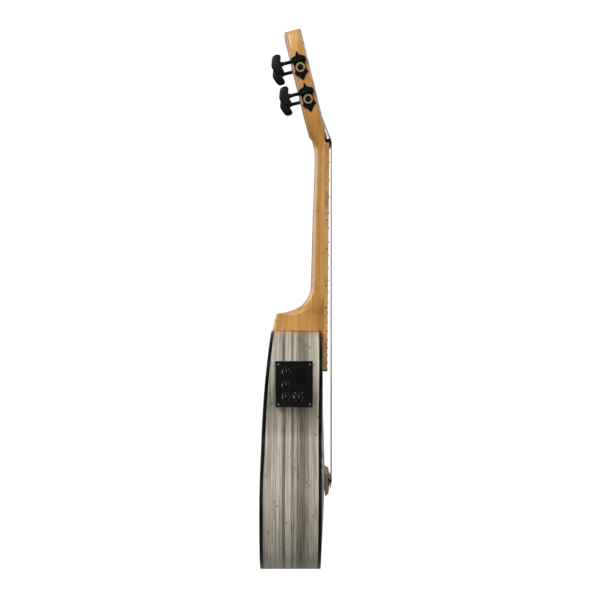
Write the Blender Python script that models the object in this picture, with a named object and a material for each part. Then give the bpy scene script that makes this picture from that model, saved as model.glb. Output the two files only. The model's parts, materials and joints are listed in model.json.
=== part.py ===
"""Concert ukulele, in metres: +Z runs up the neck from the tail, the soundboard faces -Y, +X is the treble side."""

import math

import bmesh
import bpy
import numpy as np
from mathutils import Matrix, Vector

MM = 0.001
GAP = 0.3
BODY_LENGTH = 266.3
LOWER_BOUT = 105.0
WAIST = 63.0
UPPER_BOUT = 79.0
SOUNDHOLE_R = 30.0
SOUNDHOLE_Z = 182.0
WALL = 2.2
BINDING_DEPTH = 3.7
BINDING_WIDTH = 2.5
SCALE_LENGTH = 381.0
NUT_Z = 477.5
SADDLE_Z = 99.6
FRETBOARD_END_Z = 221.3
FRETBOARD_T = 4.4
FRETS = 19
HEAD_ANGLE = math.radians(13.8)
HEAD_FRONT = (-35.5, 477.8)
HEAD_LENGTH = 130.0
HEAD_HALF = 28.0
HEAD_T = 18.7
VENEER_T = 2.0
GEAR_U = (50.2, 86.5)
GEAR_D = 10.8
GEAR_TEETH = 14
WORM_OFFSET = 8.0
STRING_Y = -39.3
POINTS = 48

for old in list(bpy.data.objects):
    bpy.data.objects.remove(old, do_unlink=True)
group = bpy.data.collections.new("concert_ukulele")
tools = bpy.data.collections.new("cutters")
bpy.context.scene.collection.children.link(group)
bpy.context.scene.collection.children.link(tools)

FINISH = {
    "bamboo_side": ((0.42, 0.40, 0.30), 0.45, 0.0),
    "bamboo_neck": ((0.80, 0.58, 0.28), 0.40, 0.0),
    "fretboard_wood": ((0.70, 0.50, 0.27), 0.50, 0.0),
    "bridge_wood": ((0.45, 0.28, 0.14), 0.50, 0.0),
    "inner_wood": ((0.62, 0.50, 0.33), 0.70, 0.0),
    "veneer": ((0.45, 0.44, 0.42), 0.45, 0.0),
    "binding": ((0.01, 0.01, 0.01), 0.25, 0.0),
    "black_plastic": ((0.012, 0.012, 0.014), 0.35, 0.0),
    "black_metal": ((0.012, 0.012, 0.013), 0.30, 0.6),
    "bronze": ((0.62, 0.45, 0.25), 0.35, 1.0),
    "nickel": ((0.60, 0.60, 0.58), 0.30, 1.0),
    "string": ((0.55, 0.55, 0.55), 0.30, 0.0),
    "display": ((0.003, 0.003, 0.003), 0.08, 0.0),
}
MATERIALS = {}
for key, (colour, rough, metal) in FINISH.items():
    m = bpy.data.materials.new(key)
    m.use_nodes = True
    shader = m.node_tree.nodes["Principled BSDF"]
    shader.inputs["Base Color"].default_value = (*colour, 1.0)
    shader.inputs["Roughness"].default_value = rough
    shader.inputs["Metallic"].default_value = metal
    MATERIALS[key] = m


def finish(name, bm, material, origin=(0.0, 0.0, 0.0), cutter=False):
    """Make an object of a bmesh in mm, with its own origin at the point given in mm."""
    bmesh.ops.recalc_face_normals(bm, faces=bm.faces[:])
    bmesh.ops.translate(bm, verts=bm.verts[:], vec=-Vector(origin))
    bmesh.ops.scale(bm, verts=bm.verts[:], vec=(MM, MM, MM))
    mesh = bpy.data.meshes.new(name)
    bm.to_mesh(mesh)
    bm.free()
    mesh.shade_smooth()
    mesh.set_sharp_from_angle(angle=math.radians(35))
    obj = bpy.data.objects.new(name, mesh)
    obj.location = Vector(origin) * MM
    if cutter:
        obj.hide_render = True
        obj.display_type = "WIRE"
        tools.objects.link(obj)
    else:
        mesh.materials.append(MATERIALS[material])
        group.objects.link(obj)
    return obj


def loft(rings, closed=False):
    """A solid through rings of equal point counts, capped at both ends unless it closes on itself."""
    bm = bmesh.new()
    made = [[bm.verts.new(p) for p in ring] for ring in rings]
    n = len(made[0])
    pairs = list(zip(made, made[1:])) + ([(made[-1], made[0])] if closed else [])
    for a, b in pairs:
        for i in range(n):
            bm.faces.new((a[i], a[(i + 1) % n], b[(i + 1) % n], b[i]))
    if not closed:
        bm.faces.new(made[0][::-1])
        bm.faces.new(made[-1])
    return bm


def add_box(bm, lo, hi, matrix=Matrix()):
    size = Vector(hi) - Vector(lo)
    mid = (Vector(hi) + Vector(lo)) / 2
    bmesh.ops.create_cube(
        bm, size=1.0, matrix=matrix @ Matrix.Translation(mid) @ Matrix.Diagonal((*size, 1.0))
    )
    return bm


def box(lo, hi):
    return add_box(bmesh.new(), lo, hi)


def add_cylinder(bm, start, end, radius, segments=16, radius2=None):
    a, b = Vector(start), Vector(end)
    turn = (b - a).to_track_quat("Z", "Y").to_matrix().to_4x4()
    bmesh.ops.create_cone(
        bm, cap_ends=True, segments=segments, radius1=radius,
        radius2=radius if radius2 is None else radius2, depth=(b - a).length,
        matrix=Matrix.Translation((a + b) / 2) @ turn,
    )
    return bm


def boolean(obj, cutter, operation="DIFFERENCE"):
    modifier = obj.modifiers.new("cut", "BOOLEAN")
    modifier.operation = operation
    modifier.solver = "EXACT"
    modifier.object = cutter


# ---- the body's outline: half of it through a few stations, mirrored, then spaced evenly ----
HALF = [
    (0.0, 0.0), (30.0, 2.6), (62.0, 11.0), (89.0, 32.0), (LOWER_BOUT, 72.0), (97.0, 108.0),
    (76.0, 133.0), (WAIST, 155.0), (69.0, 182.0), (UPPER_BOUT, 210.0), (77.0, 232.0),
    (62.0, 252.0), (34.0, 263.5), (0.0, BODY_LENGTH),
]


def outline_points(count):
    ring = HALF + [(-x, z) for x, z in HALF[-2:0:-1]]
    p = np.array(ring)
    n = len(p)
    fine = []
    for i in range(n):
        a, b, c, d = p[i - 1], p[i], p[(i + 1) % n], p[(i + 2) % n]
        for t in np.linspace(0, 1, 40, endpoint=False):
            fine.append(0.5 * (2 * b + (c - a) * t + (2 * a - 5 * b + 4 * c - d) * t**2 + (3 * b - a - 3 * c + d) * t**3))
    fine = np.array(fine + [fine[0]])
    s = np.concatenate([[0], np.cumsum(np.linalg.norm(np.diff(fine, axis=0), axis=1))])
    at = np.linspace(0, s[-1], count, endpoint=False)
    return np.stack([np.interp(at, s, fine[:, 0]), np.interp(at, s, fine[:, 1])], axis=1)


OUTLINE = outline_points(POINTS)


def inset(distance):
    ahead, behind = np.roll(OUTLINE, -1, axis=0), np.roll(OUTLINE, 1, axis=0)
    along = ahead - behind
    along /= np.linalg.norm(along, axis=1)[:, None]
    return OUTLINE + np.stack([-along[:, 1], along[:, 0]], axis=1) * distance


def rim_front(z):
    return -26.45 - 0.0078 * z


def rim_back(z):
    return float(np.interp(z, (0, 29, 74, 120, 165, 210, 258, 270), (39.5, 39.4, 38.9, 38.3, 37.0, 33.6, 28.9, 27.8)))


def edge_radius(x, z):
    rim = inset(BINDING_WIDTH + GAP)
    angle = np.arctan2(rim[:, 1] - SOUNDHOLE_Z, rim[:, 0])
    reach = np.hypot(rim[:, 0], rim[:, 1] - SOUNDHOLE_Z)
    order = np.argsort(angle)
    return float(np.interp(math.atan2(z - SOUNDHOLE_Z, x), angle[order], reach[order], period=2 * math.pi))


def dome(x, z):
    t = (math.hypot(x, z - SOUNDHOLE_Z) - SOUNDHOLE_R) / (edge_radius(x, z) - SOUNDHOLE_R)
    height = float(np.interp(z, (0, 60, 110, 180, 268), (4.0, 4.5, 4.5, 1.4, 0.9)))
    return rim_front(z) - height * (1 - min(max(t, 0.0), 1.0) ** 2)


def band(name, off0, off1, ya, yb, material, indices=None):
    """A strip that follows the outline between two insets and two heights."""
    outer, inner = inset(off0), inset(off1)
    closed = indices is None
    rings = []
    for i in indices if indices is not None else range(POINTS):
        (x0, z0), (x1, z1) = outer[i], inner[i]
        zo = OUTLINE[i][1]
        rings.append([(x0, ya(zo), z0), (x0, yb(zo), z0), (x1, yb(zo), z1), (x1, ya(zo), z1)])
    return finish(name, loft(rings, closed), material)


half = POINTS // 2
TREBLE = list(range(0, half + 1))
BASS = [(-i) % POINTS for i in range(0, half + 1)]


def side_front(z):
    return rim_front(z) + BINDING_DEPTH + GAP


def side_back(z):
    return rim_back(z) - BINDING_DEPTH - GAP


def half_side(name, indices, sign):
    outer, inner = inset(0.0), inset(WALL)
    rings = []
    for i in indices:
        (x0, z0), (x1, z1) = outer[i], inner[i]
        if abs(x0) < 0.01:
            x0 = x1 = sign * GAP / 2
        zo = OUTLINE[i][1]
        rings.append([(x0, side_front(zo), z0), (x0, side_back(zo), z0), (x1, side_back(zo), z1), (x1, side_front(zo), z1)])
    return finish(name, loft(rings), "bamboo_side")


treble_side = half_side("treble_side", TREBLE, 1)
bass_side = half_side("bass_side", BASS, -1)
band("front_binding", 0.0, BINDING_WIDTH, rim_front, lambda z: rim_front(z) + BINDING_DEPTH, "binding")
band("back_binding", 0.0, BINDING_WIDTH, lambda z: rim_back(z) - BINDING_DEPTH, rim_back, "binding")
run = [i for i in TREBLE if abs(OUTLINE[i][0]) > 27]
mirror_run = [(-i) % POINTS for i in run]
LINING = 6.5
for side, indices in (("treble", run), ("bass", mirror_run)):
    band(f"front_lining_{side}", BINDING_WIDTH + GAP, LINING, side_front, lambda z: side_front(z) + 6, "inner_wood", indices)
    band(f"back_lining_{side}", BINDING_WIDTH + GAP, LINING, lambda z: side_back(z) - 4.5, side_back, "inner_wood", indices)


def plate(name, hole, surface, thickness, levels, material):
    rim = inset(BINDING_WIDTH + GAP)
    centre = np.array([0.0, SOUNDHOLE_Z if hole else 120.0])
    bm = bmesh.new()
    skins = []
    for offset in (0.0, thickness):
        rings = []
        for t in levels:
            ring = []
            for q in rim:
                d = q - centre
                start = centre + d / np.linalg.norm(d) * hole
                x, z = start + (q - start) * t
                ring.append(bm.verts.new((x, surface(x, z, t) + offset, z)))
            rings.append(ring)
        skins.append(rings)
    for rings in skins:
        for a, b in zip(rings, rings[1:]):
            for i in range(POINTS):
                j = (i + 1) % POINTS
                bm.faces.new((a[i], a[j], b[j], b[i]))
    ends = [(skins[0][-1], skins[1][-1])] + ([(skins[0][0], skins[1][0])] if hole else [])
    for a, b in ends:
        for i in range(POINTS):
            j = (i + 1) % POINTS
            bm.faces.new((a[i], a[j], b[j], b[i]))
    if not hole:
        bm.faces.new(skins[0][0])
        bm.faces.new(skins[1][0])
    return finish(name, bm, material)


plate("soundboard", SOUNDHOLE_R, lambda x, z, t: dome(x, z), WALL, (0.0, 0.35, 0.7, 1.0), "bamboo_side")


def back_surface(x, z, t):
    return rim_back(z) + 2.0 * (1 - t * t) - WALL


plate("back_plate", 0.0, back_surface, WALL, (0.25, 0.6, 1.0), "bamboo_side")


def beam(name, z, width, reach, ya, yb, material="inner_wood"):
    rings = []
    for x in np.linspace(-reach, reach, 7):
        a, b = ya(x), yb(x)
        rings.append([(x, a, z - width / 2), (x, b, z - width / 2), (x, b, z + width / 2), (x, a, z + width / 2)])
    return finish(name, loft(rings), material)


def under_top(z, width):
    return lambda x: max(dome(x, z - width / 2), dome(x, z + width / 2)) + WALL + GAP


for name, z, reach in (("top_brace_upper", 222.0, 66.0), ("top_brace_lower", 140.0, 62.0)):
    top = under_top(z, 6.0)
    beam(name, z, 6.0, reach, top, lambda x, top=top: top(x) + 6.5)
pad = under_top(99.0, 26.0)
beam("bridge_plate", 99.0, 26.0, 46.0, pad, lambda x: pad(x) + 2.0)
for name, z, reach in (("back_brace_upper", 205.0, 68.0), ("back_brace_lower", 95.0, 93.0)):
    low = rim_back(z + 5) - WALL - GAP - 0.2
    beam(name, z, 7.0, reach, lambda x, low=low: low - 8.0, lambda x, low=low: low)

finish("neck_block", box((-24, -25.2, 233), (24, 24.6, 261.0)), "inner_wood")
tail_block = finish("tail_block", box((-24, -22.2, 4.9), (24, 35.2, 18)), "inner_wood")

# ---- output jack, flush in the tail ----
JACK_Y = 6.0
jack = finish("output_jack", add_cylinder(bmesh.new(), (0, JACK_Y, 0.3), (0, JACK_Y, 2.0), 8.0, 24), "nickel")
barrel = finish("jack_barrel", add_cylinder(bmesh.new(), (0, JACK_Y, 1.0), (0, JACK_Y, 27.0), 5.6, 20), None, cutter=True)
socket = finish("jack_bore", add_cylinder(bmesh.new(), (0, JACK_Y, -2.0), (0, JACK_Y, 24.5), 3.3, 20), None, cutter=True)
boolean(jack, barrel, "UNION")
boolean(jack, socket)
flange_hole = finish("flange_hole", add_cylinder(bmesh.new(), (0, JACK_Y, -3.0), (0, JACK_Y, 4.0), 8.4, 24), None, cutter=True)
barrel_hole = finish("barrel_hole", add_cylinder(bmesh.new(), (0, JACK_Y, 1.0), (0, JACK_Y, 30.0), 6.0, 20), None, cutter=True)
boolean(treble_side, flange_hole)
boolean(bass_side, flange_hole)
boolean(tail_block, barrel_hole)

# ---- preamp in the bass side ----
P_LO, P_HI, P_FACE = (-17.4, 186.1), (22.2, 235.1), -80.6
panel = finish("preamp_panel", box((P_FACE, P_LO[0], P_LO[1]), (-67.0, P_HI[0], P_HI[1])), "black_plastic")
window = finish("panel_window", box((P_FACE - 2, -9.2, 211.0), (P_FACE + 1.2, 0.3, 227.3)), None, cutter=True)
boolean(panel, window)
finish("display_window", box((P_FACE + 0.2, -8.9, 211.3), (P_FACE + 0.9, 0.0, 227.0)), "display")
side_cut = finish("side_cut", box((-95, P_LO[0] - GAP, P_LO[1] - GAP), (-50, P_HI[0] + GAP, P_HI[1] + GAP)), None, cutter=True)
boolean(bass_side, side_cut)
finish("preamp_housing", box((-66.7, -14.5, 189), (-44, 19.5, 232)), "black_plastic")
finish("battery", box((-43.7, -11.5, 190), (-28, 14.5, 231.5)), "nickel")
KNOBS = {
    "knob_1": (10.8, 224.2), "knob_2": (10.8, 209.8), "knob_3": (11.2, 196.9), "volume_knob": (-2.8, 196.2),
}
for name, (y, z) in KNOBS.items():
    finish(name, add_cylinder(bmesh.new(), (P_FACE - GAP, y, z), (P_FACE - 2.4, y, z), 2.9, 18, 2.5), "black_plastic", (P_FACE, y, z))
for name, (y, z) in (("left_button", (1.4, 204.3)), ("right_button", (-6.3, 205.2))):
    finish(name, add_cylinder(bmesh.new(), (P_FACE - 1.1, y, z), (P_FACE - 2.2, y, z), 1.7, 14), "black_plastic", (P_FACE, y, z))

# ---- neck, head and fretboard ----
def board_front(z):
    return -34.7 - 0.01005 * (z - 257.8)


def board_back(z):
    return board_front(z) + FRETBOARD_T


def board_half(z):
    return float(np.interp(z, (FRETBOARD_END_Z, 266.3, NUT_Z), (24.6, 23.0, 17.5)))


U = Vector((0, math.sin(HEAD_ANGLE), math.cos(HEAD_ANGLE)))
D = Vector((0, math.cos(HEAD_ANGLE), -math.sin(HEAD_ANGLE)))
P0 = Vector((0, *HEAD_FRONT))


def head(x, u, d):
    return Vector((x, 0, 0)) + P0 + U * u + D * d


def neck_ring(z, back, width, power=1.0, front=None):
    front = board_back(z) + GAP if front is None else front
    pts = [(-width, front, z), (width, front, z)]
    for k in range(1, 8):
        a = math.pi * k / 8
        c, s = math.cos(a), math.sin(a)
        pts.append((width * math.copysign(abs(c) ** power, c), front + (back - front) * s**power, z))
    return pts


SECTIONS = [
    (266.8, 27.3, 16.0, 0.75), (278.0, 24.8, 15.5, 0.75), (285.4, 23.0, 15.5, 0.75), (286.8, 13.0, 16.0, 0.75),
    (290.0, 3.0, 17.5, 0.8), (294.5, -5.5, 19.5, 0.85), (303.3, -12.4, 21.5, 0.9), (312.5, -15.7, 21.8, 0.9),
    (321.5, -16.4, 21.6, 0.9), (400.0, -18.5, 19.5, 0.9), (438.0, -20.0, 18.5, 0.9), (464.0, -20.6, 17.8, 0.9),
    (471.5, -20.0, 17.6, 0.9),
]
rings = [neck_ring(*s) for s in SECTIONS]


def head_ring(u, width, d0, d1, round_back):
    pts = [head(-width, u, d0), head(width, u, d0)]
    for k in range(1, 8):
        a = math.pi * k / 8
        c, s = math.cos(a), math.sin(a)
        pts.append(head(width * math.copysign(abs(c) ** round_back, c), u, d0 + (d1 - d0) * s**round_back))
    return pts


CORE = VENEER_T + GAP
rings.append(head_ring(8.0, 19.0, CORE + 0.3, 16.5, 0.7))
for u, width in ((18.0, 22.5), (27.0, 26.0), (34.0, HEAD_HALF), (108.0, HEAD_HALF), (124.0, 26.8), (HEAD_LENGTH, 24.0)):
    rings.append(head_ring(u, width, CORE, HEAD_T, 0.35 if u < 34 else 0.22))
neck = finish("neck", loft(rings), "bamboo_neck")

HEAD_ROWS = Matrix(((1, 0, 0, P0.x), (0, U.y, D.y, P0.y), (0, U.z, D.z, P0.z), (0, 0, 0, 1)))


def head_prism(bm, x0, x1, u0, u1, d0, d1):
    add_box(bm, (x0, u0, d0), (x1, u1, d1), HEAD_ROWS)
    return bm


SLOT_X = (5.0, 16.5)
SLOT_U = (18.5, 101.0)
slots = []
for sign in (-1, 1):
    lo, hi = sorted((sign * SLOT_X[0], sign * SLOT_X[1]))
    slots.append(finish(f"slot_{sign}", head_prism(bmesh.new(), lo, hi, *SLOT_U, -6, 26), None, cutter=True))
rings = []
for u, width in ((5.4, 18.4), (18.0, 22.5), (27.0, 26.0), (34.0, HEAD_HALF), (108.0, HEAD_HALF), (124.0, 26.8), (HEAD_LENGTH, 24.0)):
    rings.append([head(-width, u, 0), head(width, u, 0), head(width, u, VENEER_T), head(-width, u, VENEER_T)])
headplate = finish("headplate", loft(rings), "veneer")
for cutter in slots:
    boolean(neck, cutter)
    boolean(headplate, cutter)
for number, u in enumerate(GEAR_U):
    for sign in (-1, 1):
        hole = add_cylinder(bmesh.new(), head(sign * 3.9, u, GEAR_D), head(sign * 34.0, u, GEAR_D), 3.5, 16)
        boolean(neck, finish(f"roller_hole_{number}_{sign}", hole, None, cutter=True))

# fretboard with a shallow groove down its middle, in which the joining strip of the frets lies
rings = []
for z in (FRETBOARD_END_Z, 264.5, 266.4, NUT_Z - 0.4):
    w, f, b = board_half(z), board_front(z), board_back(z) + (0.3 if z < 265 else 0.0)
    rings.append([(-w, b, z), (-w, f, z), (-0.8, f, z), (-0.8, f + 1.0, z), (0.8, f + 1.0, z), (0.8, f, z), (w, f, z), (w, b, z)])
finish("fretboard", loft(rings), "fretboard_wood")

FRET_Z = [NUT_Z - SCALE_LENGTH * (1 - 2 ** (-n / 12)) for n in range(1, FRETS + 1)]
strip = []
for z in (FRET_Z[-1] - 0.3, FRET_Z[0] + 0.3):
    f = board_front(z)
    strip.append([(-0.45, f + 0.6, z), (-0.45, f - 0.6, z), (0.45, f - 0.6, z), (0.45, f + 0.6, z)])
frets = finish("fret_set", loft(strip), "nickel")
bars = bmesh.new()
for z in FRET_Z:
    w, f = board_half(z) - 0.5, board_front(z)
    made = loft([
        [(x, f - GAP, z - 0.9), (x, f - 1.1, z - 0.5), (x, f - 1.1, z + 0.5), (x, f - GAP, z + 0.9)] for x in (-w, w)
    ])
    piece = bpy.data.meshes.new("fret_bar")
    bmesh.ops.recalc_face_normals(made, faces=made.faces[:])
    made.to_mesh(piece)
    made.free()
    bars.from_mesh(piece)
    bpy.data.meshes.remove(piece)
boolean(frets, finish("fret_bars", bars, None, cutter=True), "UNION")

f = board_front(NUT_Z)
finish("nut", loft([
    [(x, f + 4.3, NUT_Z), (x, f - GAP, NUT_Z), (x, f - GAP, NUT_Z - 3.2), (x, f - 1.7, NUT_Z - 3.2), (x, f - 1.9, NUT_Z), (x, f - 1.2, NUT_Z + 4.6), (x, f + 4.0, NUT_Z + 4.0)]
    for x in (-17.6, 17.6)
]), "binding")

# ---- bridge, saddle, pickup ----
BRIDGE = (84.5, 109.4)
base = min(dome(0, z) for z in (88.0, 98.0, 109.0)) - GAP
finish("bridge", loft([
    [(x, base, BRIDGE[0]), (x, base, BRIDGE[1]), (x, base - 2.6 if abs(x) > 30 else -36.6, BRIDGE[1] - 1.5),
     (x, base - 2.8 if abs(x) > 30 else -36.9, 103.6), (x, base - 2.8 if abs(x) > 30 else -34.6, 103.5), (x, base - 2.8 if abs(x) > 30 else -34.6, 96.0),
     (x, base - 2.7 if abs(x) > 30 else -36.9, 95.9), (x, base - 2.5 if abs(x) > 30 else -35.6, BRIDGE[0] + 1.0)]
    for x in (-38.0, -30.5, -29.0, 29.0, 30.5, 38.0)
]), "bridge_wood")
finish("saddle", box((-28.6, -38.6, 98.0), (28.6, -35.9, 101.4)), "binding")
finish("piezo_pickup", box((-28.0, -35.6, 98.0), (28.0, -34.9, 101.4)), "nickel")

# ---- tuners ----
def placed(bm, sign, u):
    """Carry a piece made in (outward, towards tip, towards back) to its place on the head's side."""
    m = Matrix.Translation(head(sign * HEAD_HALF, u, GEAR_D)) @ Matrix(
        ((sign, 0, 0, 0), (0, U.y, D.y, 0), (0, U.z, D.z, 0), (0, 0, 0, 1))
    )
    bmesh.ops.transform(bm, matrix=m, verts=bm.verts[:])
    return bm


def prism(points, a0, a1):
    """An outline in (tip, back), extruded outward from a0 to a1."""
    return loft([[(a, p, q) for p, q in points] for a in (a0, a1)])


PLATE = [
    (19.6, 0.0), (14.5, 2.2), (12.2, 7.9), (8.0, 7.6), (3.0, 6.4), (-3.0, 6.6), (-6.0, 7.9), (-9.0, 4.0), (-14.6, 0.0),
    (-9.0, -4.0), (-6.0, -7.9), (-3.0, -6.6), (3.0, -6.4), (8.0, -7.6), (12.2, -7.9), (14.5, -2.2),
]
WORM_A = 4.3
BUTTON = [
    (0.0, 18.6), (3.0, 19.8), (6.6, 18.6), (9.6, 18.9), (11.2, 21.6), (11.0, 25.2), (8.4, 28.4), (4.0, 30.2),
    (0.0, 31.8), (-4.0, 30.2), (-8.4, 28.4), (-11.0, 25.2), (-11.2, 21.6), (-9.6, 18.9), (-6.6, 18.6), (-3.0, 19.8),
]
STRING_AT = {}
for sign, side in ((-1, "bass"), (1, "treble")):
    for which, u in zip(("lower", "upper"), GEAR_U):
        tag = f"{side}_{which}"
        plate_obj = finish(f"tuner_plate_{tag}", placed(prism(PLATE, GAP, 1.3), sign, u), "black_metal")
        for k, (b0, b1) in enumerate(((-7.4, -5.6), (5.6, 7.4))):
            ear = add_box(bmesh.new(), (0.8, WORM_OFFSET - 2.6, b0), (WORM_A + 2.9, WORM_OFFSET + 2.6, b1))
            boolean(plate_obj, finish(f"ear_{tag}_{k}", placed(ear, sign, u), None, cutter=True), "UNION")
        shaft_hole = add_cylinder(bmesh.new(), (WORM_A, WORM_OFFSET, -9), (WORM_A, WORM_OFFSET, 9), 1.8, 14)
        boolean(plate_obj, finish(f"shaft_hole_{tag}", placed(shaft_hole, sign, u), None, cutter=True))
        roller_pass = add_cylinder(bmesh.new(), (-1, 0, 0), (3, 0, 0), 2.4, 14)
        boolean(plate_obj, finish(f"roller_pass_{tag}", placed(roller_pass, sign, u), None, cutter=True))

        # worm, with its thin ends through the ears, turned about the axis along the third direction
        profile = [(0.0, 29.5), (1.45, 29.5), (1.45, 5.3), (2.0, 5.2), (2.0, -5.2), (1.45, -5.3), (1.45, -8.0), (0.0, -8.0)]
        n = 14
        turned = []
        for r, b in profile[1:-1]:
            turned.append([(WORM_A + r * math.cos(2 * math.pi * k / n), WORM_OFFSET + r * math.sin(2 * math.pi * k / n), b) for k in range(n)])
        axis_point = tuple(head(sign * (HEAD_HALF + WORM_A), u + WORM_OFFSET, GEAR_D))
        shaft = placed(loft(turned), sign, u)
        finish(f"worm_shaft_{tag}", shaft, "black_metal", axis_point)
        shape = placed(loft([[(WORM_A + a, WORM_OFFSET + p, q) for p, q in BUTTON] for a in (-3.0, 3.0)]), sign, u)
        knob = finish(f"tuner_button_{tag}", shape, "black_plastic", axis_point)
        seat = add_cylinder(bmesh.new(), (WORM_A, WORM_OFFSET, 14), (WORM_A, WORM_OFFSET, 29.8), 1.75, 14)
        boolean(knob, finish(f"button_seat_{tag}", placed(seat, sign, u), None, cutter=True))

        # gear, toothed at its rim, bored for the roller's neck
        rim = []
        for k in range(GEAR_TEETH * 4):
            a = 2 * math.pi * (k + 0.5) / (GEAR_TEETH * 4)
            r = 5.6 if k % 4 in (0, 1) else 4.9
            rim.append((r * math.cos(a), r * math.sin(a)))
        gear = finish(f"tuner_gear_{tag}", placed(prism(rim, 2.0, 5.2), sign, u), "bronze", tuple(head(sign * HEAD_HALF, u, GEAR_D)))
        bore = add_cylinder(bmesh.new(), (0, 0, 0), (8, 0, 0), 2.3, 14)
        boolean(gear, finish(f"gear_bore_{tag}", placed(bore, sign, u), None, cutter=True))

        steps = [(-23.7, 2.9), (-0.3, 2.9), (-0.2, 1.95), (5.5, 1.95), (5.6, 3.4), (6.3, 3.1), (6.8, 2.0)]
        body = loft([[(a, r * math.cos(2 * math.pi * k / n), r * math.sin(2 * math.pi * k / n)) for k in range(n)] for a, r in steps])
        finish(f"string_roller_{tag}", placed(body, sign, u), "black_metal", tuple(head(sign * HEAD_HALF, u, GEAR_D)))

# ---- strings: tail end behind the saddle, saddle, nut, then down to the roller ----
NUT_X = {"4": -13.2, "3": -4.4, "2": 4.4, "1": 13.2}
SADDLE_X = {"4": -19.5, "3": -6.5, "2": 6.5, "1": 19.5}
ROLLER_X = {"4": -13.0, "3": -10.0, "2": 10.0, "1": 13.0}
THICK = {"4": 0.33, "3": 0.46, "2": 0.41, "1": 0.30}
for number in "4321":
    r = THICK[number]
    u = GEAR_U[0] if number in "41" else GEAR_U[1]
    end = head(ROLLER_X[number], u + 0.5, GEAR_D - 2.9 - r - 0.25)
    lift = board_front(NUT_Z) - 1.9 - r - 0.3
    route = [
        (SADDLE_X[number], -37.2 - r - 0.3, 90.0), (SADDLE_X[number], -38.9 - r, 97.5), (SADDLE_X[number], -38.95 - r, 101.8),
        (NUT_X[number], lift, NUT_Z - 3.4), (NUT_X[number], lift + 0.05, NUT_Z + 1.0), (NUT_X[number], lift + 0.9, NUT_Z + 5.4), tuple(end),
    ]
    curve = bpy.data.curves.new(f"string_{number}", "CURVE")
    curve.dimensions = "3D"
    curve.bevel_depth = r * MM
    curve.bevel_resolution = 2
    curve.use_fill_caps = True
    spline = curve.splines.new("POLY")
    spline.points.add(len(route) - 1)
    for point, at in zip(spline.points, route):
        point.co = (at[0] * MM, at[1] * MM, at[2] * MM, 1.0)
    obj = bpy.data.objects.new(f"string_{number}", curve)
    curve.materials.append(MATERIALS["string"])
    group.objects.link(obj)
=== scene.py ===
import json
import math

import bmesh
import bpy
import numpy as np
from mathutils import Matrix, Vector


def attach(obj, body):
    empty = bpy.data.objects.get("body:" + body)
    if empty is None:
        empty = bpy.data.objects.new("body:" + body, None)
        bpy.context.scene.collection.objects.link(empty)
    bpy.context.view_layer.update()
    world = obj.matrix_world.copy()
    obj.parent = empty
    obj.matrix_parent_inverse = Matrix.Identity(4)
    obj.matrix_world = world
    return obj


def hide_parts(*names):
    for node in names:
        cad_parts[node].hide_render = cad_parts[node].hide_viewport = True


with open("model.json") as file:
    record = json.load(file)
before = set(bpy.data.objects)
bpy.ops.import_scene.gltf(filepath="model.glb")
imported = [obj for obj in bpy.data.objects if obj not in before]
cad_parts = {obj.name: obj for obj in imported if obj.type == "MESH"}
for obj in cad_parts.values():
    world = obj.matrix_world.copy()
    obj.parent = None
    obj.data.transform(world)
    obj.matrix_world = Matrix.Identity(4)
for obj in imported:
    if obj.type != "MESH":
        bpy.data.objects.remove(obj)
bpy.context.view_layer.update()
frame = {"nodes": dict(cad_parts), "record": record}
NODES = frame["nodes"]
ROOT = "instrument"
MM = 0.001

# ---------------------------------------------------------------- camera and light
AXIS_Y, AXIS_Z, DISTANCE = -3.97 * MM, 301.0 * MM, 1.45
camera = bpy.data.objects.new("camera", bpy.data.cameras.new("camera"))
camera.data.lens, camera.data.sensor_width = 76.7, 36.0
camera.data.clip_start, camera.data.clip_end = 0.05, 100.0
camera.location = (-DISTANCE, AXIS_Y, AXIS_Z)
camera.rotation_euler = (math.radians(90), 0, math.radians(-90))
bpy.context.scene.collection.objects.link(camera)
bpy.context.scene.camera = camera
bpy.context.scene.view_settings.view_transform = "Standard"


def area(name, where, target, size, power):
    light = bpy.data.lights.new(name, "AREA")
    light.shape, light.size, light.energy = "SQUARE", size, power
    o = bpy.data.objects.new(name, light)
    o.location = where
    o.rotation_euler = (Vector(target) - Vector(where)).to_track_quat("-Z", "Y").to_euler()
    bpy.context.scene.collection.objects.link(o)


area("key", (-1.6, 0.9, 1.5), (0, 0, 0.3), 1.1, 22)
area("fill", (-1.4, -1.5, 0.8), (0, 0, 0.3), 1.2, 14)
area("rim", (0.9, -1.2, 1.3), (0, 0, 0.35), 1.0, 9)
area("back", (0.9, 1.3, 0.9), (0, 0, 0.3), 1.2, 9)
world = bpy.data.worlds.new("studio")
bpy.context.scene.world = world
world.use_nodes = True
wt = world.node_tree
wt.nodes.clear()
out = wt.nodes.new("ShaderNodeOutputWorld")
mix = wt.nodes.new("ShaderNodeMixShader")
path = wt.nodes.new("ShaderNodeLightPath")
soft, seen = wt.nodes.new("ShaderNodeBackground"), wt.nodes.new("ShaderNodeBackground")
soft.inputs[0].default_value, soft.inputs[1].default_value = (1, 1, 1, 1), 0.34
seen.inputs[0].default_value, seen.inputs[1].default_value = (1, 1, 1, 1), 1.05
# less light from below, so that the tail's turned-under side darkens
sky, split, grade = wt.nodes.new("ShaderNodeTexCoord"), wt.nodes.new("ShaderNodeSeparateXYZ"), wt.nodes.new("ShaderNodeMapRange")
wt.links.new(sky.outputs["Generated"], split.inputs[0])
wt.links.new(split.outputs["Z"], grade.inputs["Value"])
for name, value in (("From Min", -0.35), ("From Max", 0.15), ("To Min", 0.06), ("To Max", 0.36)):
    grade.inputs[name].default_value = value
wt.links.new(grade.outputs["Result"], soft.inputs[1])
wt.links.new(path.outputs["Is Camera Ray"], mix.inputs[0])
wt.links.new(soft.outputs[0], mix.inputs[1])
wt.links.new(seen.outputs[0], mix.inputs[2])
wt.links.new(mix.outputs[0], out.inputs[0])

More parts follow.
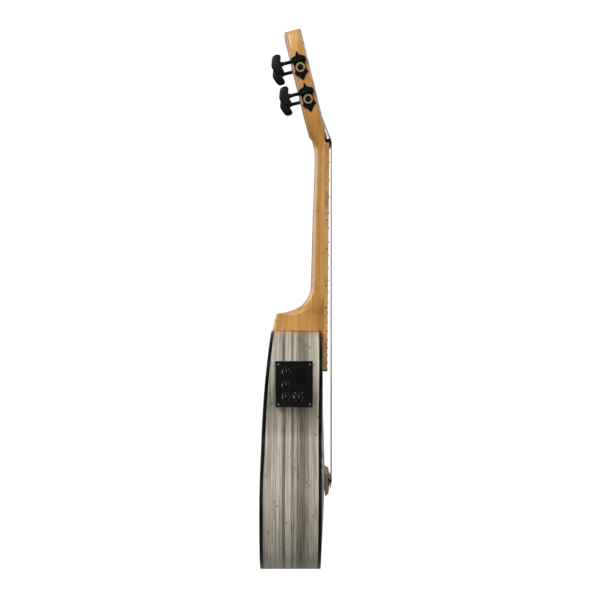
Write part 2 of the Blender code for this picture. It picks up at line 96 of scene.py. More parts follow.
bm = bmesh.new()
bmesh.ops.create_grid(bm, x_segments=2, y_segments=2, size=1.6)
mesh = bpy.data.meshes.new("floor")
bm.to_mesh(mesh)
bm.free()
floor = bpy.data.objects.new("floor", mesh)
floor.location = (0.0, 0, -0.62)
bpy.context.scene.collection.objects.link(floor)
fm = bpy.data.materials.new("pale_floor")
fm.use_nodes = True
fs = fm.node_tree.nodes["Principled BSDF"]
fs.inputs["Base Color"].default_value = (0.35, 0.35, 0.35, 1)
fs.inputs["Roughness"].default_value = 0.9
mesh.materials.append(fm)


# ---------------------------------------------------------------- materials
class Graph:
    """A short way to write a material's nodes."""

    def __init__(self, name):
        self.material = bpy.data.materials.new(name)
        self.material.use_nodes = True
        self.tree = self.material.node_tree
        self.shader = self.tree.nodes["Principled BSDF"]
        self.coords = self.tree.nodes.new("ShaderNodeTexCoord").outputs["Object"]
        split = self.node("ShaderNodeSeparateXYZ", self.coords)
        self.x, self.y, self.z = split.outputs

    def node(self, kind, *inputs, **values):
        n = self.tree.nodes.new(kind)
        for k, v in values.items():
            setattr(n, k, v)
        for i, v in enumerate(inputs):
            self.put(n.inputs[i], v)
        return n

    def put(self, socket, value):
        if value is None:
            return
        if isinstance(value, bpy.types.NodeSocket):
            self.tree.links.new(value, socket)
        else:
            socket.default_value = value

    def math(self, operation, a, b=None, c=None):
        return self.node("ShaderNodeMath", a, b, c, operation=operation).outputs[0]

    def point(self, x, y, z):
        return self.node("ShaderNodeCombineXYZ", x, y, z).outputs[0]

    def noise(self, where, scale, detail=4.0, rough=0.5):
        n = self.node("ShaderNodeTexNoise")
        self.put(n.inputs["Vector"], where)
        self.put(n.inputs["Scale"], scale)
        self.put(n.inputs["Detail"], detail)
        self.put(n.inputs["Roughness"], rough)
        return n.outputs["Fac"]

    def ramp(self, value, *stops):
        n = self.node("ShaderNodeValToRGB", value)
        e = n.color_ramp.elements
        while len(e) < len(stops):
            e.new(0.5)
        for item, (at, colour) in zip(e, stops):
            item.position, item.color = at, (*colour, 1.0)
        return n.outputs[0]

    def blend(self, factor, a, b, mode="MIX"):
        n = self.node("ShaderNodeMix", data_type="RGBA", blend_type=mode)
        self.put(n.inputs[0], factor)
        for socket, v in ((n.inputs[6], a), (n.inputs[7], b)):
            self.put(socket, v if isinstance(v, bpy.types.NodeSocket) else (*v, 1.0))
        return n.outputs[2]

    def bump(self, height, strength, distance=0.0003):
        n = self.node("ShaderNodeBump")
        n.inputs["Strength"].default_value = strength
        n.inputs["Distance"].default_value = distance
        self.put(n.inputs["Height"], height)
        self.put(self.shader.inputs["Normal"], n.outputs[0])

    def done(self, rough, metallic=0.0, coat=0.0):
        self.put(self.shader.inputs["Roughness"], rough)
        self.shader.inputs["Metallic"].default_value = metallic
        self.shader.inputs["Coat Weight"].default_value = coat
        self.shader.inputs["Coat Roughness"].default_value = 0.15
        return self.material


def bamboo(name, across, width, dark, mid, light, contrast=1.0, knots=True, rough=0.38, coat=0.25, line=0.5):
    """Laminated bamboo: strips side by side along one axis, each of its own shade, with fibres and growth rings."""
    g = Graph(name)
    s = {"x": g.x, "y": g.y}[across]
    other = {"x": g.y, "y": g.x}[across]
    wobble = g.math("MULTIPLY", g.noise(g.point(g.math("MULTIPLY", other, 6.0), 0.0, g.math("MULTIPLY", g.z, 6.0)), 1.0, 2.0), width * 0.35)
    u = g.math("DIVIDE", g.math("ADD", s, wobble), width)
    strip = g.math("FLOOR", u)
    rnd = g.node("ShaderNodeTexWhiteNoise", noise_dimensions="1D")
    g.put(rnd.inputs["W"], strip)
    rnd2 = g.node("ShaderNodeTexWhiteNoise", noise_dimensions="1D")
    g.put(rnd2.inputs["W"], g.math("ADD", strip, 37.3))
    # fibres: fine across the strip, drawn out along it
    fibre = g.noise(g.point(g.math("MULTIPLY", other, 8.0), g.math("MULTIPLY", s, 2200.0), g.math("MULTIPLY", g.z, 22.0)), 1.0, 5.0, 0.65)
    broad = g.noise(g.point(g.math("MULTIPLY", other, 5.0), g.math("MULTIPLY", s, 420.0), g.math("MULTIPLY", g.z, 14.0)), 1.0, 3.0, 0.6)
    value = g.math("ADD", g.math("MULTIPLY", rnd.outputs["Value"], 0.42 * contrast), g.math("MULTIPLY", fibre, 0.75))
    value = g.math("ADD", value, g.math("MULTIPLY", broad, 0.45))
    value = g.math("SUBTRACT", value, 0.31 + 0.2 * contrast)
    colour = g.ramp(value, (0.12, dark), (0.42, mid), (0.72, light))
    edge = g.math("ABSOLUTE", g.math("SUBTRACT", g.math("FRACT", u), 0.5))
    seam = g.node("ShaderNodeMapRange", edge, 0.42, 0.5, 0.0, line).outputs[0]
    colour = g.blend(seam, colour, tuple(c * 0.45 for c in dark))
    if name.startswith("grey"):
        tint = g.noise(g.point(g.math("MULTIPLY", other, 5.0), g.math("MULTIPLY", s, 190.0), g.math("MULTIPLY", g.z, 9.0)), 1.0, 2.0)
        colour = g.blend(g.node("ShaderNodeMapRange", tint, 0.52, 0.72, 0.0, 0.45).outputs[0], colour, (0.50, 0.36, 0.27))
        thin = g.noise(g.point(g.math("MULTIPLY", other, 9.0), g.math("MULTIPLY", s, 1100.0), g.math("MULTIPLY", g.z, 34.0)), 1.0, 3.0, 0.6)
        colour = g.blend(g.node("ShaderNodeMapRange", thin, 0.54, 0.68, 0.0, 0.55).outputs[0], colour, (0.13, 0.115, 0.085))
    if knots:
        phase = g.math("FRACT", g.math("ADD", g.math("DIVIDE", g.z, 0.145), g.math("MULTIPLY", rnd2.outputs["Value"], 7.0)))
        ring = g.math("ABSOLUTE", g.math("SUBTRACT", phase, 0.5))
        near = g.node("ShaderNodeMapRange", ring, 0.0, 0.016, 0.75, 0.0).outputs[0]
        spots = g.node("ShaderNodeMapRange", g.noise(g.point(g.x, g.y, g.z), 520.0, 2.0), 0.42, 0.6, 0.15, 1.0).outputs[0]
        colour = g.blend(g.math("MULTIPLY", near, spots), colour, tuple(c * 0.35 for c in dark))
    g.put(g.shader.inputs["Base Color"], colour)
    g.bump(g.math("SUBTRACT", fibre, g.math("MULTIPLY", seam, 0.8)), 0.25, 0.0002)
    return g.done(g.math("ADD", rough, g.math("MULTIPLY", fibre, 0.12)), coat=coat)


def plain(name, colour, rough, metallic=0.0, coat=0.0, scale=900.0, vary=0.25, bump=0.08):
    g = Graph(name)
    fine = g.noise(g.coords, scale, 3.0)
    wide = g.noise(g.coords, scale * 0.08, 3.0)
    both = g.math("ADD", g.math("MULTIPLY", fine, 0.5), g.math("MULTIPLY", wide, 0.5))
    low, high = tuple(c * (1 - vary) for c in colour), tuple(min(1.0, c * (1 + vary)) for c in colour)
    g.put(g.shader.inputs["Base Color"], g.ramp(both, (0.3, low), (0.7, high)))
    if max(colour) < 0.03:
        g.shader.inputs["Specular IOR Level"].default_value = 0.22
    g.bump(fine, bump, 0.00006)
    return g.done(g.math("ADD", rough - 0.05, g.math("MULTIPLY", wide, 0.1)), metallic, coat)


GREY = ((0.15, 0.127, 0.092), (0.62, 0.565, 0.45), (0.93, 0.89, 0.78))
TAN = ((0.56, 0.235, 0.04), (0.84, 0.47, 0.13), (0.95, 0.70, 0.30))
SIDE = bamboo("grey_bamboo_side", "y", 0.0031, *GREY, contrast=0.85, rough=0.32, coat=0.35, line=0.75)
TOP = bamboo("grey_bamboo_top", "x", 0.0048, *GREY, rough=0.32, coat=0.35)
NECK = bamboo("tan_bamboo_neck", "y", 0.0115, *TAN, contrast=0.45, rough=0.30, coat=0.4, line=0.22)
BOARD = bamboo("fretboard_bamboo", "x", 0.006, (0.44, 0.21, 0.05), (0.72, 0.43, 0.15), (0.88, 0.62, 0.28), contrast=0.5, rough=0.42, coat=0.1, line=0.25)
BRIDGE = bamboo("bridge_bamboo", "y", 0.005, (0.16, 0.08, 0.03), (0.36, 0.19, 0.085), (0.50, 0.30, 0.15), contrast=0.5, knots=False, rough=0.42, coat=0.1)
FACE = bamboo("grey_veneer", "x", 0.0048, *GREY, rough=0.32, coat=0.35)
INNER = bamboo("inner_bamboo", "x", 0.007, (0.30, 0.20, 0.10), (0.56, 0.42, 0.25), (0.70, 0.56, 0.36), contrast=0.5, rough=0.7, coat=0.0, line=0.3)
BINDING = plain("black_binding", (0.0022, 0.0022, 0.0025), 0.24, coat=0.05)
PLASTIC = plain("moulded_black", (0.0028, 0.0028, 0.0034), 0.38, scale=2600.0, bump=0.2)
METAL = plain("black_plated", (0.004, 0.004, 0.0045), 0.30, metallic=0.3, scale=1500.0)
BRONZE = plain("antique_bronze", (0.58, 0.40, 0.20), 0.32, metallic=1.0, scale=1500.0)
NICKEL = plain("nickel", (0.62, 0.61, 0.58), 0.25, metallic=1.0, scale=1500.0)
NYLON = plain("grey_nylon", (0.42, 0.42, 0.43), 0.35, scale=2500.0, vary=0.1)
GLASS = plain("dark_window", (0.0008, 0.0008, 0.001), 0.08, coat=0.1, vary=0.1, bump=0.0)
WHITE = plain("white_print", (0.55, 0.55, 0.55), 0.5, vary=0.05)
DOT = plain("dot_dark", (0.03, 0.012, 0.006), 0.35)

BY_SLOT = {
    "bamboo_side": TOP, "bamboo_neck": NECK, "fretboard_wood": BOARD, "bridge_wood": BRIDGE, "inner_wood": INNER, "veneer": FACE,
    "binding": BINDING, "black_plastic": PLASTIC, "black_metal": METAL, "bronze": BRONZE, "nickel": NICKEL, "string": NYLON, "display": GLASS,
}
SLOT_OF = {s["node"]: s["material_slot"] for s in frame["record"]["subparts"]}


def paint(obj, material):
    obj.data.materials.clear()
    obj.data.materials.append(material)


for name, obj in NODES.items():
    paint(obj, SIDE if name.endswith("_side") else BY_SLOT[SLOT_OF[name]])

# ---------------------------------------------------------------- shape helpers
def make(name, bm, material, body=ROOT, replaces=(), bevel=0.0, segments=2, subdivide=0, angle=35):
    bmesh.ops.recalc_face_normals(bm, faces=bm.faces[:])
    bmesh.ops.scale(bm, verts=bm.verts[:], vec=(MM, MM, MM))
    mesh = bpy.data.meshes.new(name)
    bm.to_mesh(mesh)
    bm.free()
    mesh.shade_smooth()
    if not subdivide:
        mesh.set_sharp_from_angle(angle=math.radians(angle))
    obj = bpy.data.objects.new(name, mesh)
    bpy.context.scene.collection.objects.link(obj)
    mesh.materials.append(material)
    if bevel:
        m = obj.modifiers.new("edge", "BEVEL")
        m.width, m.segments, m.limit_method, m.angle_limit = bevel * MM, segments, "ANGLE", math.radians(40)
        m.harden_normals = False
    if subdivide:
        m = obj.modifiers.new("smooth", "SUBSURF")
        m.levels = m.render_levels = subdivide
    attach(obj, body)
    if replaces:
        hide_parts(*replaces)
    return obj


def loft(rings, closed=False):
    bm = bmesh.new()
    made = [[bm.verts.new(p) for p in ring] for ring in rings]
    n = len(made[0])
    for a, b in list(zip(made, made[1:])) + ([(made[-1], made[0])] if closed else []):
        for i in range(n):
            bm.faces.new((a[i], a[(i + 1) % n], b[(i + 1) % n], b[i]))
    if not closed:
        bm.faces.new(made[0][::-1])
        bm.faces.new(made[-1])
    return bm


HEAD_ANGLE = math.radians(13.8)
U = Vector((0, math.sin(HEAD_ANGLE), math.cos(HEAD_ANGLE)))
D = Vector((0, math.cos(HEAD_ANGLE), -math.sin(HEAD_ANGLE)))
P0 = Vector((0, -35.5, 477.8))
GEAR_U, GEAR_D, HEAD_HALF, WORM_A, WORM_OFFSET = (50.2, 86.5), 10.8, 28.0, 4.3, 8.0


def head(x, u, d):
    return Vector((x, 0, 0)) + P0 + U * u + D * d


def placed(bm, sign, u):
    m = Matrix.Translation(head(sign * HEAD_HALF, u, GEAR_D)) @ Matrix(((sign, 0, 0, 0), (0, U.y, D.y, 0), (0, U.z, D.z, 0), (0, 0, 0, 1)))
    bmesh.ops.transform(bm, matrix=m, verts=bm.verts[:])
    return bm


# ---------------------------------------------------------------- the body, on a finer outline
POINTS = 192
HALF = [
    (0.0, 0.0), (30.0, 2.6), (62.0, 11.0), (89.0, 32.0), (105.0, 72.0), (97.0, 108.0), (76.0, 133.0), (63.0, 155.0),
    (69.0, 182.0), (79.0, 210.0), (77.0, 232.0), (62.0, 252.0), (34.0, 263.5), (0.0, 266.3),
]
p = np.array(HALF + [(-x, z) for x, z in HALF[-2:0:-1]])
fine = []
for i in range(len(p)):
    a, b, c, d = p[i - 1], p[i], p[(i + 1) % len(p)], p[(i + 2) % len(p)]
    for t in np.linspace(0, 1, 40, endpoint=False):
        fine.append(0.5 * (2 * b + (c - a) * t + (2 * a - 5 * b + 4 * c - d) * t**2 + (3 * b - a - 3 * c + d) * t**3))
fine = np.array(fine + [fine[0]])
reach = np.concatenate([[0], np.cumsum(np.linalg.norm(np.diff(fine, axis=0), axis=1))])
at = np.linspace(0, reach[-1], POINTS, endpoint=False)
OUTLINE = np.stack([np.interp(at, reach, fine[:, 0]) * 0.9955, np.clip(np.interp(at, reach, fine[:, 1]), 0.05, None)], axis=1)


def inset(distance):
    along = np.roll(OUTLINE, -1, axis=0) - np.roll(OUTLINE, 1, axis=0)
    along /= np.linalg.norm(along, axis=1)[:, None]
    return OUTLINE + np.stack([-along[:, 1], along[:, 0]], axis=1) * distance


def rim_front(z):
    return -26.45 - 0.0078 * z


KNOTS_Z = (0, 29, 74, 120, 165, 210, 258, 270)
KNOTS_Y = (39.5, 39.4, 38.9, 38.3, 37.0, 33.6, 28.9, 27.8)
BACK_FIT = np.polyfit(KNOTS_Z, KNOTS_Y, 4)


def rim_back(z):
    return min(float(np.polyval(BACK_FIT, z)), 39.5)


RIM = inset(2.55)
ANGLES = np.arctan2(RIM[:, 1] - 182.0, RIM[:, 0])
REACHES = np.hypot(RIM[:, 0], RIM[:, 1] - 182.0)
ORDER = np.argsort(ANGLES)


def dome(x, z):
    far = float(np.interp(math.atan2(z - 182.0, x), ANGLES[ORDER], REACHES[ORDER], period=2 * math.pi))
    t = (math.hypot(x, z - 182.0) - 30.0) / (far - 30.0)
    height = float(np.interp(z, (0, 60, 110, 180, 268), (4.0, 4.5, 4.5, 1.4, 0.9)))
    return rim_front(z) - height * (1 - min(max(t, 0.0), 1.0) ** 2)


def band(name, off0, off1, ya, yb, material, replaces, indices=None, close_x=None, round_outer=()):
    outer, inner = inset(off0), inset(off1)
    rings = []
    for i in range(POINTS) if indices is None else indices:
        (x0, z0), (x1, z1) = outer[i], inner[i]
        if close_x is not None and abs(x0) < 0.05:
            x0 = x1 = close_x
        zo = OUTLINE[i][1]
        a, b = ya(zo), yb(zo)
        rings.append([(x0, a, z0), (x0, b, z0), (x1, b, z1), (x1, a, z1)])
    return make(name, loft(rings, indices is None), material, replaces=replaces, bevel=0.5 if round_outer else 0.0)


half = POINTS // 2
band("side_treble_fine", 0.0, 2.2, lambda z: rim_front(z) + 3.7, lambda z: rim_back(z) - 3.7, SIDE, ("treble_side",), list(range(half + 1)), 0.01)
bass = band("side_bass_fine", 0.0, 2.2, lambda z: rim_front(z) + 3.7, lambda z: rim_back(z) - 3.7, SIDE, ("bass_side",), [(-i) % POINTS for i in range(half + 1)], -0.01)
band("binding_front_fine", -0.03, 2.5, rim_front, lambda z: rim_front(z) + 3.7, BINDING, ("front_binding",), round_outer=(1,))
band("binding_back_fine", -0.03, 2.5, lambda z: rim_back(z) - 3.7, rim_back, BINDING, ("back_binding",), round_outer=(1,))


def cutter(name, bm):
    bmesh.ops.recalc_face_normals(bm, faces=bm.faces[:])
    bmesh.ops.scale(bm, verts=bm.verts[:], vec=(MM, MM, MM))
    mesh = bpy.data.meshes.new(name)
    bm.to_mesh(mesh)
    bm.free()
    obj = bpy.data.objects.new(name, mesh)
    bpy.context.scene.collection.objects.link(obj)
    return obj


def cut(obj, tool):
    """Take a shape away for good, then remove it."""
    m = obj.modifiers.new("cut", "BOOLEAN")
    m.operation, m.solver, m.object = "DIFFERENCE", "EXACT", tool
    bpy.context.view_layer.update()
    deps = bpy.context.evaluated_depsgraph_get()
    new = bpy.data.meshes.new_from_object(obj.evaluated_get(deps))
    obj.modifiers.clear()
    obj.data = new
    bpy.data.objects.remove(tool, do_unlink=True)


def cube(bm, lo, hi):
    size, mid = Vector(hi) - Vector(lo), (Vector(hi) + Vector(lo)) / 2
    bmesh.ops.create_cube(bm, size=1.0, matrix=Matrix.Translation(mid) @ Matrix.Diagonal((*size, 1.0)))
    return bm


def cylinder(bm, start, end, radius, segments=24, radius2=None):
    a, b = Vector(start), Vector(end)
    turn = (b - a).to_track_quat("Z", "Y").to_matrix().to_4x4()
    bmesh.ops.create_cone(bm, cap_ends=True, segments=segments, radius1=radius, radius2=radius if radius2 is None else radius2,
                          depth=(b - a).length, matrix=Matrix.Translation((a + b) / 2) @ turn)
    return bm


cut(bass, cutter("panel_space", cube(bmesh.new(), (-95, -17.7, 185.8), (-50, 22.5, 235.4))))
for name in ("side_treble_fine", "side_bass_fine"):
    cut(bpy.data.objects[name], cutter("jack_space", cylinder(bmesh.new(), (0, 6, -3), (0, 6, 4), 8.3, 48)))


def skin(name, hole, centre_z, surface, levels, material, replaces):
    centre = np.array([0.0, centre_z])
    bm = bmesh.new()
    sheets = []
    for offset in (0.0, 2.2):
        rings = []
        for t in levels:
            ring = []
            for q in RIM:
                d = q - centre
                start = centre + d / np.linalg.norm(d) * hole
                x, z = start + (q - start) * t
                ring.append(bm.verts.new((x, surface(x, z, t) + offset, z)))
            rings.append(ring)
        sheets.append(rings)
    loops = [pair for rings in sheets for pair in zip(rings, rings[1:])] + [(sheets[0][-1], sheets[1][-1])]
    if hole:
        loops.append((sheets[0][0], sheets[1][0]))
    for a, b in loops:
        for i in range(POINTS):
            j = (i + 1) % POINTS
            bm.faces.new((a[i], a[j], b[j], b[i]))
    if not hole:
        bm.faces.new(sheets[0][0])
        bm.faces.new(sheets[1][0])
    return make(name, bm, material, replaces=replaces)


skin("soundboard_fine", 30.0, 182.0, lambda x, z, t: dome(x, z), (0, 0.02, 0.15, 0.3, 0.45, 0.6, 0.75, 0.88, 1.0), TOP, ("soundboard",))
skin("back_fine", 0.0, 120.0, lambda x, z, t: rim_back(z) + 1.9 * (1 - t * t) - 2.2, (0.04, 0.2, 0.35, 0.5, 0.65, 0.8, 0.9, 1.0), TOP, ("back_plate",))

# soundhole ring: two thin inlaid circles
for k, (r0, r1) in enumerate(((33.0, 34.2), (37.0, 38.6))):
    rings = []
    for i in range(120):
        a = 2 * math.pi * i / 120
        pts = []
        for r, lift in ((r0, 0.05), (r1, 0.05), (r1, -0.3), (r0, -0.3)):
            x, z = r * math.cos(a), 182 + r * math.sin(a)
            pts.append((x, dome(x, z) - lift, z))
        rings.append(pts)
    make(f"rosette_{k}", loft(rings, True), BINDING)

# ---------------------------------------------------------------- neck, smooth copies of the CAD sections
def board_front(z):
    return -34.7 - 0.01005 * (z - 257.8)


def board_half(z):
    return float(np.interp(z, (221.3, 266.3, 477.5), (24.6, 23.0, 17.5)))


ROUND = 32


def neck_ring(z, back, width, power):
    front = board_front(z) + 4.4 + 0.05
    pts = [(-width, front, z), (width, front, z)]
    for k in range(1, ROUND):
        a = math.pi * k / ROUND
        c, s = math.cos(a), math.sin(a)
        pts.append((width * math.copysign(abs(c) ** power, c), front + (back - front) * s**power, z))
    return pts


def head_ring(u, width, d0, d1, power):
    pts = [head(-width, u, d0), head(width, u, d0)]
    for k in range(1, ROUND):
        a = math.pi * k / ROUND
        c, s = math.cos(a), math.sin(a)
        pts.append(head(width * math.copysign(abs(c) ** power, c), u, d0 + (d1 - d0) * s**power))
    return pts


SECTIONS = np.array([
    (266.8, 27.3, 16.0, 0.75), (278.0, 24.8, 15.5, 0.75), (285.4, 23.0, 15.5, 0.75), (286.8, 13.0, 16.0, 0.75),
    (290.0, 3.0, 17.5, 0.8), (294.5, -5.5, 19.5, 0.85), (303.3, -12.4, 21.5, 0.9), (312.5, -15.7, 21.8, 0.9),
    (321.5, -16.4, 21.6, 0.9), (400.0, -18.5, 19.5, 0.9), (438.0, -20.0, 18.5, 0.9), (464.0, -20.6, 17.8, 0.9), (471.5, -20.0, 17.6, 0.9),
])
rings = [neck_ring(266.35, 27.4, 16.0, 0.75)]
for i in range(len(SECTIONS) - 1):
    a, b, c, d = (SECTIONS[min(max(k, 0), len(SECTIONS) - 1)] for k in (i - 1, i, i + 1, i + 2))
    sharp = i in (0, 1, 2)
    for t in np.linspace(0, 1, 5, endpoint=False):
        if sharp:
            q = b + (c - b) * t
        else:
            q = 0.5 * (2 * b + (c - a) * t + (2 * a - 5 * b + 4 * c - d) * t**2 + (3 * b - a - 3 * c + d) * t**3)
            q[0] = b[0] + (c[0] - b[0]) * t
        rings.append(neck_ring(*q))
rings.append(neck_ring(*SECTIONS[-1]))
rings.append(head_ring(8.0, 19.0, 2.6, 16.5, 0.7))
for u, width, power in ((13, 20.6, 0.52), (18.0, 22.5, 0.35), (27.0, 26.0, 0.26), (34.0, 28.0, 0.2), (108.0, 28.0, 0.2), (124.0, 26.8, 0.2), (130.0, 24.0, 0.2)):
    rings.append(head_ring(u, width, 2.05, 18.7, power))
neck = make("neck_fine", loft(rings), NECK, replaces=("neck",))


def prism_head(x0, x1, u0, u1, d0, d1):
    bm = cube(bmesh.new(), (x0, u0, d0), (x1, u1, d1))
    bmesh.ops.transform(bm, matrix=Matrix(((1, 0, 0, P0.x), (0, U.y, D.y, P0.y), (0, U.z, D.z, P0.z), (0, 0, 0, 1))), verts=bm.verts[:])
    return bm


def slot_shape(sign):
    """A slot with round ends, through the head."""
    n, ring0, ring1 = 12, [], []
    x, r, u0, u1 = sign * 10.75, 5.75, 18.5 + 5.75, 101 - 5.75
    pts = [(x + r * math.cos(a), u1 + r * math.sin(a)) for a in np.linspace(0, math.pi, n)]
    pts += [(x + r * math.cos(a), u0 + r * math.sin(a)) for a in np.linspace(math.pi, 2 * math.pi, n)]
    return loft([[head(px, pu, d) for px, pu in pts] for d in (-6, 26)])


rings = []
for u, width in ((5.0, 18.3), (12.0, 20.4), (18.0, 22.5), (27.0, 26.0), (34.0, 28.0), (108.0, 28.0), (124.0, 26.8), (130.0, 24.0)):
    rings.append([head(-width, u, 0), head(width, u, 0), head(width, u, 2.0), head(-width, u, 2.0)])
face = make("headplate_fine", loft(rings), FACE, replaces=("headplate",))
for sign in (-1, 1):
    cut(neck, cutter("slot_tool", slot_shape(sign)))
    cut(face, cutter("slot_tool", slot_shape(sign)))
    for u in GEAR_U:
        cut(neck, cutter("hole_tool", cylinder(bmesh.new(), head(sign * 3.9, u, GEAR_D), head(sign * 34, u, GEAR_D), 3.4)))
for obj in (neck, face):
    obj.data.set_sharp_from_angle(angle=math.radians(38))
    m = obj.modifiers.new("edge", "BEVEL")
    m.width, m.segments, m.limit_method, m.angle_limit = 0.3 * MM, 2, "ANGLE", math.radians(50)

# fretboard, side dots, frets
rings = []
for z in (221.3, 264.5, 266.4, 370.0, 477.4):
    w, f = board_half(z), board_front(z)
    b = f + (5.1 if z < 265 else 4.45)
    rings.append([(-w, b, z), (-w, f + 0.35, z), (-w + 0.35, f, z), (w - 0.35, f, z), (w, f + 0.35, z), (w, b, z)])
make("fretboard_fine", loft(rings), BOARD, replaces=("fretboard",))
FRET_Z = [477.5 - 381.0 * (1 - 2 ** (-n / 12)) for n in range(0, 20)]
bars = bmesh.new()
for z in FRET_Z[1:]:
    w, f = board_half(z) - 0.15, board_front(z)
    made = loft([[(x, f + 0.3, z - 1.0), (x, f - 0.25, z - 1.0), (x, f - 0.55, z - 0.65), (x, f - 0.7, z), (x, f - 0.55, z + 0.65), (x, f - 0.25, z + 1.0), (x, f + 0.3, z + 1.0)] for x in (-w, w)])
    bmesh.ops.recalc_face_normals(made, faces=made.faces[:])
    tmp = bpy.data.meshes.new("bar")
    made.to_mesh(tmp)
    made.free()
    bars.from_mesh(tmp)
    bpy.data.meshes.remove(tmp)
make("frets_fine", bars, NICKEL, replaces=("fret_set",))
for n in (5, 7, 10, 12):
    z = (FRET_Z[n] + FRET_Z[n - 1]) / 2
    w, f = board_half(z), board_front(z)
    make(f"side_dot_{n}", cylinder(bmesh.new(), (-w - 0.04, f + 2.1, z), (-w + 1.0, f + 2.1, z), 0.85, 20), DOT)
make("heel_fillet", cube(bmesh.new(), (-23.6, board_front(266.0) + 4.3, 262.6), (23.6, board_front(266.0) + 6.4, 266.6)), NECK, bevel=0.2)
make("fretboard_end_band", cube(bmesh.new(), (-24.62, board_front(221.3) - 0.02, 221.28), (24.62, board_front(221.3) + 4.42, 223.0)), DOT, bevel=0.2)

# ---------------------------------------------------------------- tuners
for sign, side in ((-1, "bass"), (1, "treble")):
    for which, u in zip(("lower", "upper"), GEAR_U):
        tag = f"{side}_{which}"
        key, roller = f"tuner_key_{tag}", f"tuner_roller_{tag}"
        # butterfly button: a rounded cage, waisted at its middle, with a small nib
        outline = [(0.0, 18.2), (3.4, 20.4), (7.4, 18.2), (11.0, 18.4), (12.4, 22.0), (11.6, 27.0), (7.6, 29.0), (3.6, 30.2), (0.0, 31.6),
                   (-3.6, 30.2), (-7.6, 29.0), (-11.6, 27.0), (-12.4, 22.0), (-11.0, 18.4), (-7.4, 18.2), (-3.4, 20.4)]
        rings = []
        for a, k in ((-2.9, 0.72), (-1.9, 1.0), (1.9, 1.0), (2.9, 0.72)):
            rings.append([(WORM_A + a, WORM_OFFSET + q * k, 24.6 + (b - 24.6) * (0.5 + 0.5 * k)) for q, b in outline])
        make(f"button_{tag}", placed(loft(rings), sign, u), PLASTIC, key, (f"tuner_button_{tag}",), subdivide=2)
        # worm: a round shaft with collars, and a thread wound along its middle
        n, prof = 24, [(1.2, 29.4), (1.5, 29.0), (1.5, 20.6), (2.6, 20.2), (2.6, 18.2), (2.0, 17.2), (2.0, 8.6), (2.5, 8.4), (2.5, 7.7), (1.5, 7.6), (1.5, 5.4), (1.55, 5.2), (1.55, -5.2), (1.4, -5.3), (1.4, -7.6), (2.1, -7.7), (2.1, -8.4), (1.2, -8.7)]
        rings = [[(WORM_A + r * math.cos(2 * math.pi * k / n), WORM_OFFSET + r * math.sin(2 * math.pi * k / n), b) for k in range(n)] for r, b in prof]
        make(f"shaft_{tag}", placed(loft(rings), sign, u), METAL, key, (f"worm_shaft_{tag}",))
        rings = []
        for k in range(4 * 20 + 1):
            a, b = 2 * math.pi * k / 20, -4.9 + 9.8 * k / 80
            rings.append([(WORM_A + r * math.cos(a), WORM_OFFSET + r * math.sin(a), b + q) for r, q in ((1.45, -0.7), (2.1, -0.25), (2.1, 0.25), (1.45, 0.7))])
        make(f"thread_{tag}", placed(loft(rings), sign, u), METAL, key)
        # screw head with a cross recess, and the coil of string on the roller
        screw = bmesh.new()
        rings = []
        for a, r in ((5.3, 3.3), (5.9, 3.45), (6.35, 3.1), (6.65, 2.4), (6.78, 1.2)):
            rings.append([(a, r * math.cos(2 * math.pi * k / n), r * math.sin(2 * math.pi * k / n)) for k in range(n)])
        cap = make(f"screw_{tag}", placed(loft(rings), sign, u), METAL, roller)
        for q in (0, 1):
            bar = cube(bmesh.new(), (6.1, -1.5 if q else -0.3, -0.3 if q else -1.5), (8, 1.5 if q else 0.3, 0.3 if q else 1.5))
            cut(cap, cutter("recess", placed(bar, sign, u)))
        # screws of the plate
        for spot in ((16.0, 0.0), (-10.6, 0.0)):
            small = cylinder(bmesh.new(), (1.2, *spot), (1.9, *spot), 1.35, 20, 0.9)
            make(f"plate_screw_{tag}_{int(spot[0])}", placed(small, sign, u), METAL)
        number = {("bass", "lower"): 4, ("bass", "upper"): 3, ("treble", "upper"): 2, ("treble", "lower"): 1}[(side, which)]
        where, r = {4: (15.2, 0.33), 3: (18.0, 0.46), 2: (18.0, 0.41), 1: (15.0, 0.30)}[number]
        rings = []
        for k in range(3 * 20 + 1):
            a = 2 * math.pi * k / 20
            mid = 2.9 + r + 0.02
            x = -where - 2.2 * r * k / 20
            rings.append([(x + r * math.cos(w), (mid + r * math.sin(w)) * math.cos(a), (mid + r * math.sin(w)) * math.sin(a)) for w in np.linspace(0, 2 * math.pi, 8, endpoint=False)])
        make(f"coil_{tag}", placed(loft(rings), sign, u), NYLON, roller)

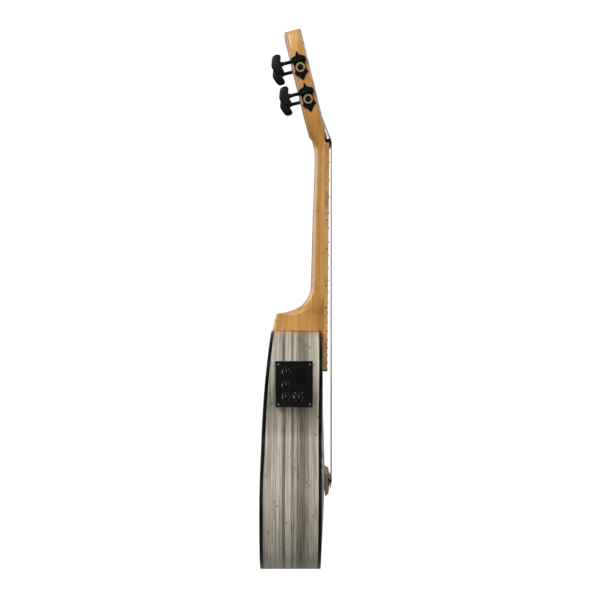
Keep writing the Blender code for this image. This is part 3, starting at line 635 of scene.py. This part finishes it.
# ---------------------------------------------------------------- preamp: rim, ribs, screws, tick marks
F = -80.6
for k, (y0, z0, y1, z1) in enumerate(((-17.3, 186.2, 22.1, 187.6), (-17.3, 233.6, 22.1, 235.0), (-17.3, 187.6, -15.9, 233.6), (20.7, 187.6, 22.1, 233.6),
                                      (-13.4, 188.5, -12.6, 232.5), (-11.4, 188.5, -10.8, 232.5), (17.0, 188.5, 17.7, 232.5))):
    make(f"panel_rib_{k}", cube(bmesh.new(), (F - 0.7, y0, z0), (F + 0.2, y1, z1)), PLASTIC, bevel=0.25)
for k, (y, z) in enumerate(((19.2, 232.0), (-14.6, 232.0), (19.2, 189.2), (-14.6, 189.2))):
    screw = make(f"panel_screw_{k}", cylinder(bmesh.new(), (F + 0.1, y, z), (F - 0.6, y, z), 1.25, 24, 0.95), NICKEL)
    cut(screw, cutter("recess", cube(bmesh.new(), (F - 2, y - 0.16, z - 0.9), (F - 0.3, y + 0.16, z + 0.9))))
for name, (y, z) in {"knob_1": (10.8, 224.2), "knob_2": (10.8, 209.8), "knob_3": (11.2, 196.9), "volume_knob": (-2.8, 196.2)}.items():
    n, teeth = 72, 18
    rings = []
    for x, r, grip in ((F - 0.3, 2.75, 0.0), (F - 0.5, 2.9, 0.0), (F - 0.8, 2.8, 0.12), (F - 2.1, 2.55, 0.12), (F - 2.35, 2.3, 0.0), (F - 2.38, 1.8, 0.0)):
        rings.append([(x, y + (r + grip * (1 if (k // 2) % 2 else -1)) * math.cos(2 * math.pi * k / n), z + (r + grip * (1 if (k // 2) % 2 else -1)) * math.sin(2 * math.pi * k / n)) for k in range(n)])
    make(f"{name}_fine", loft(rings), PLASTIC, f"{name}_body", (name,))
    make(f"{name}_mark", cube(bmesh.new(), (F - 2.4, y - 0.18, z + 0.5), (F - 2.3, y + 0.18, z + 2.0)), WHITE, f"{name}_body")
    for k in range(7):
        a = math.radians(90 + (k - 3) * 45)
        c, s = math.cos(a), math.sin(a)
        make(f"{name}_tick_{k}", cylinder(bmesh.new(), (F + 0.05, y + 4.1 * c, z + 4.1 * s), (F - 0.06, y + 4.1 * c, z + 4.1 * s), 0.24, 10), WHITE)
for k, (y, z) in enumerate(((15.0, 224.2), (15.0, 209.8), (15.0, 196.9), (2.9, 197.5), (1.4, 201.3), (-6.3, 202.2))):
    make(f"label_bar_{k}", cube(bmesh.new(), (F - 0.05, y - 0.25, z - 1.6), (F + 0.05, y + 0.25, z + 1.6)) if k < 4 else cube(bmesh.new(), (F - 0.05, y - 0.7, z - 0.2), (F + 0.05, y + 0.7, z + 0.2)), WHITE)

for name in ("saddle", "nut", "bridge", "preamp_panel", "left_button", "right_button", "output_jack"):
    m = NODES[name].modifiers.new("edge", "BEVEL")
    m.width, m.segments, m.limit_method, m.angle_limit = 0.3 * MM, 3, "ANGLE", math.radians(40)
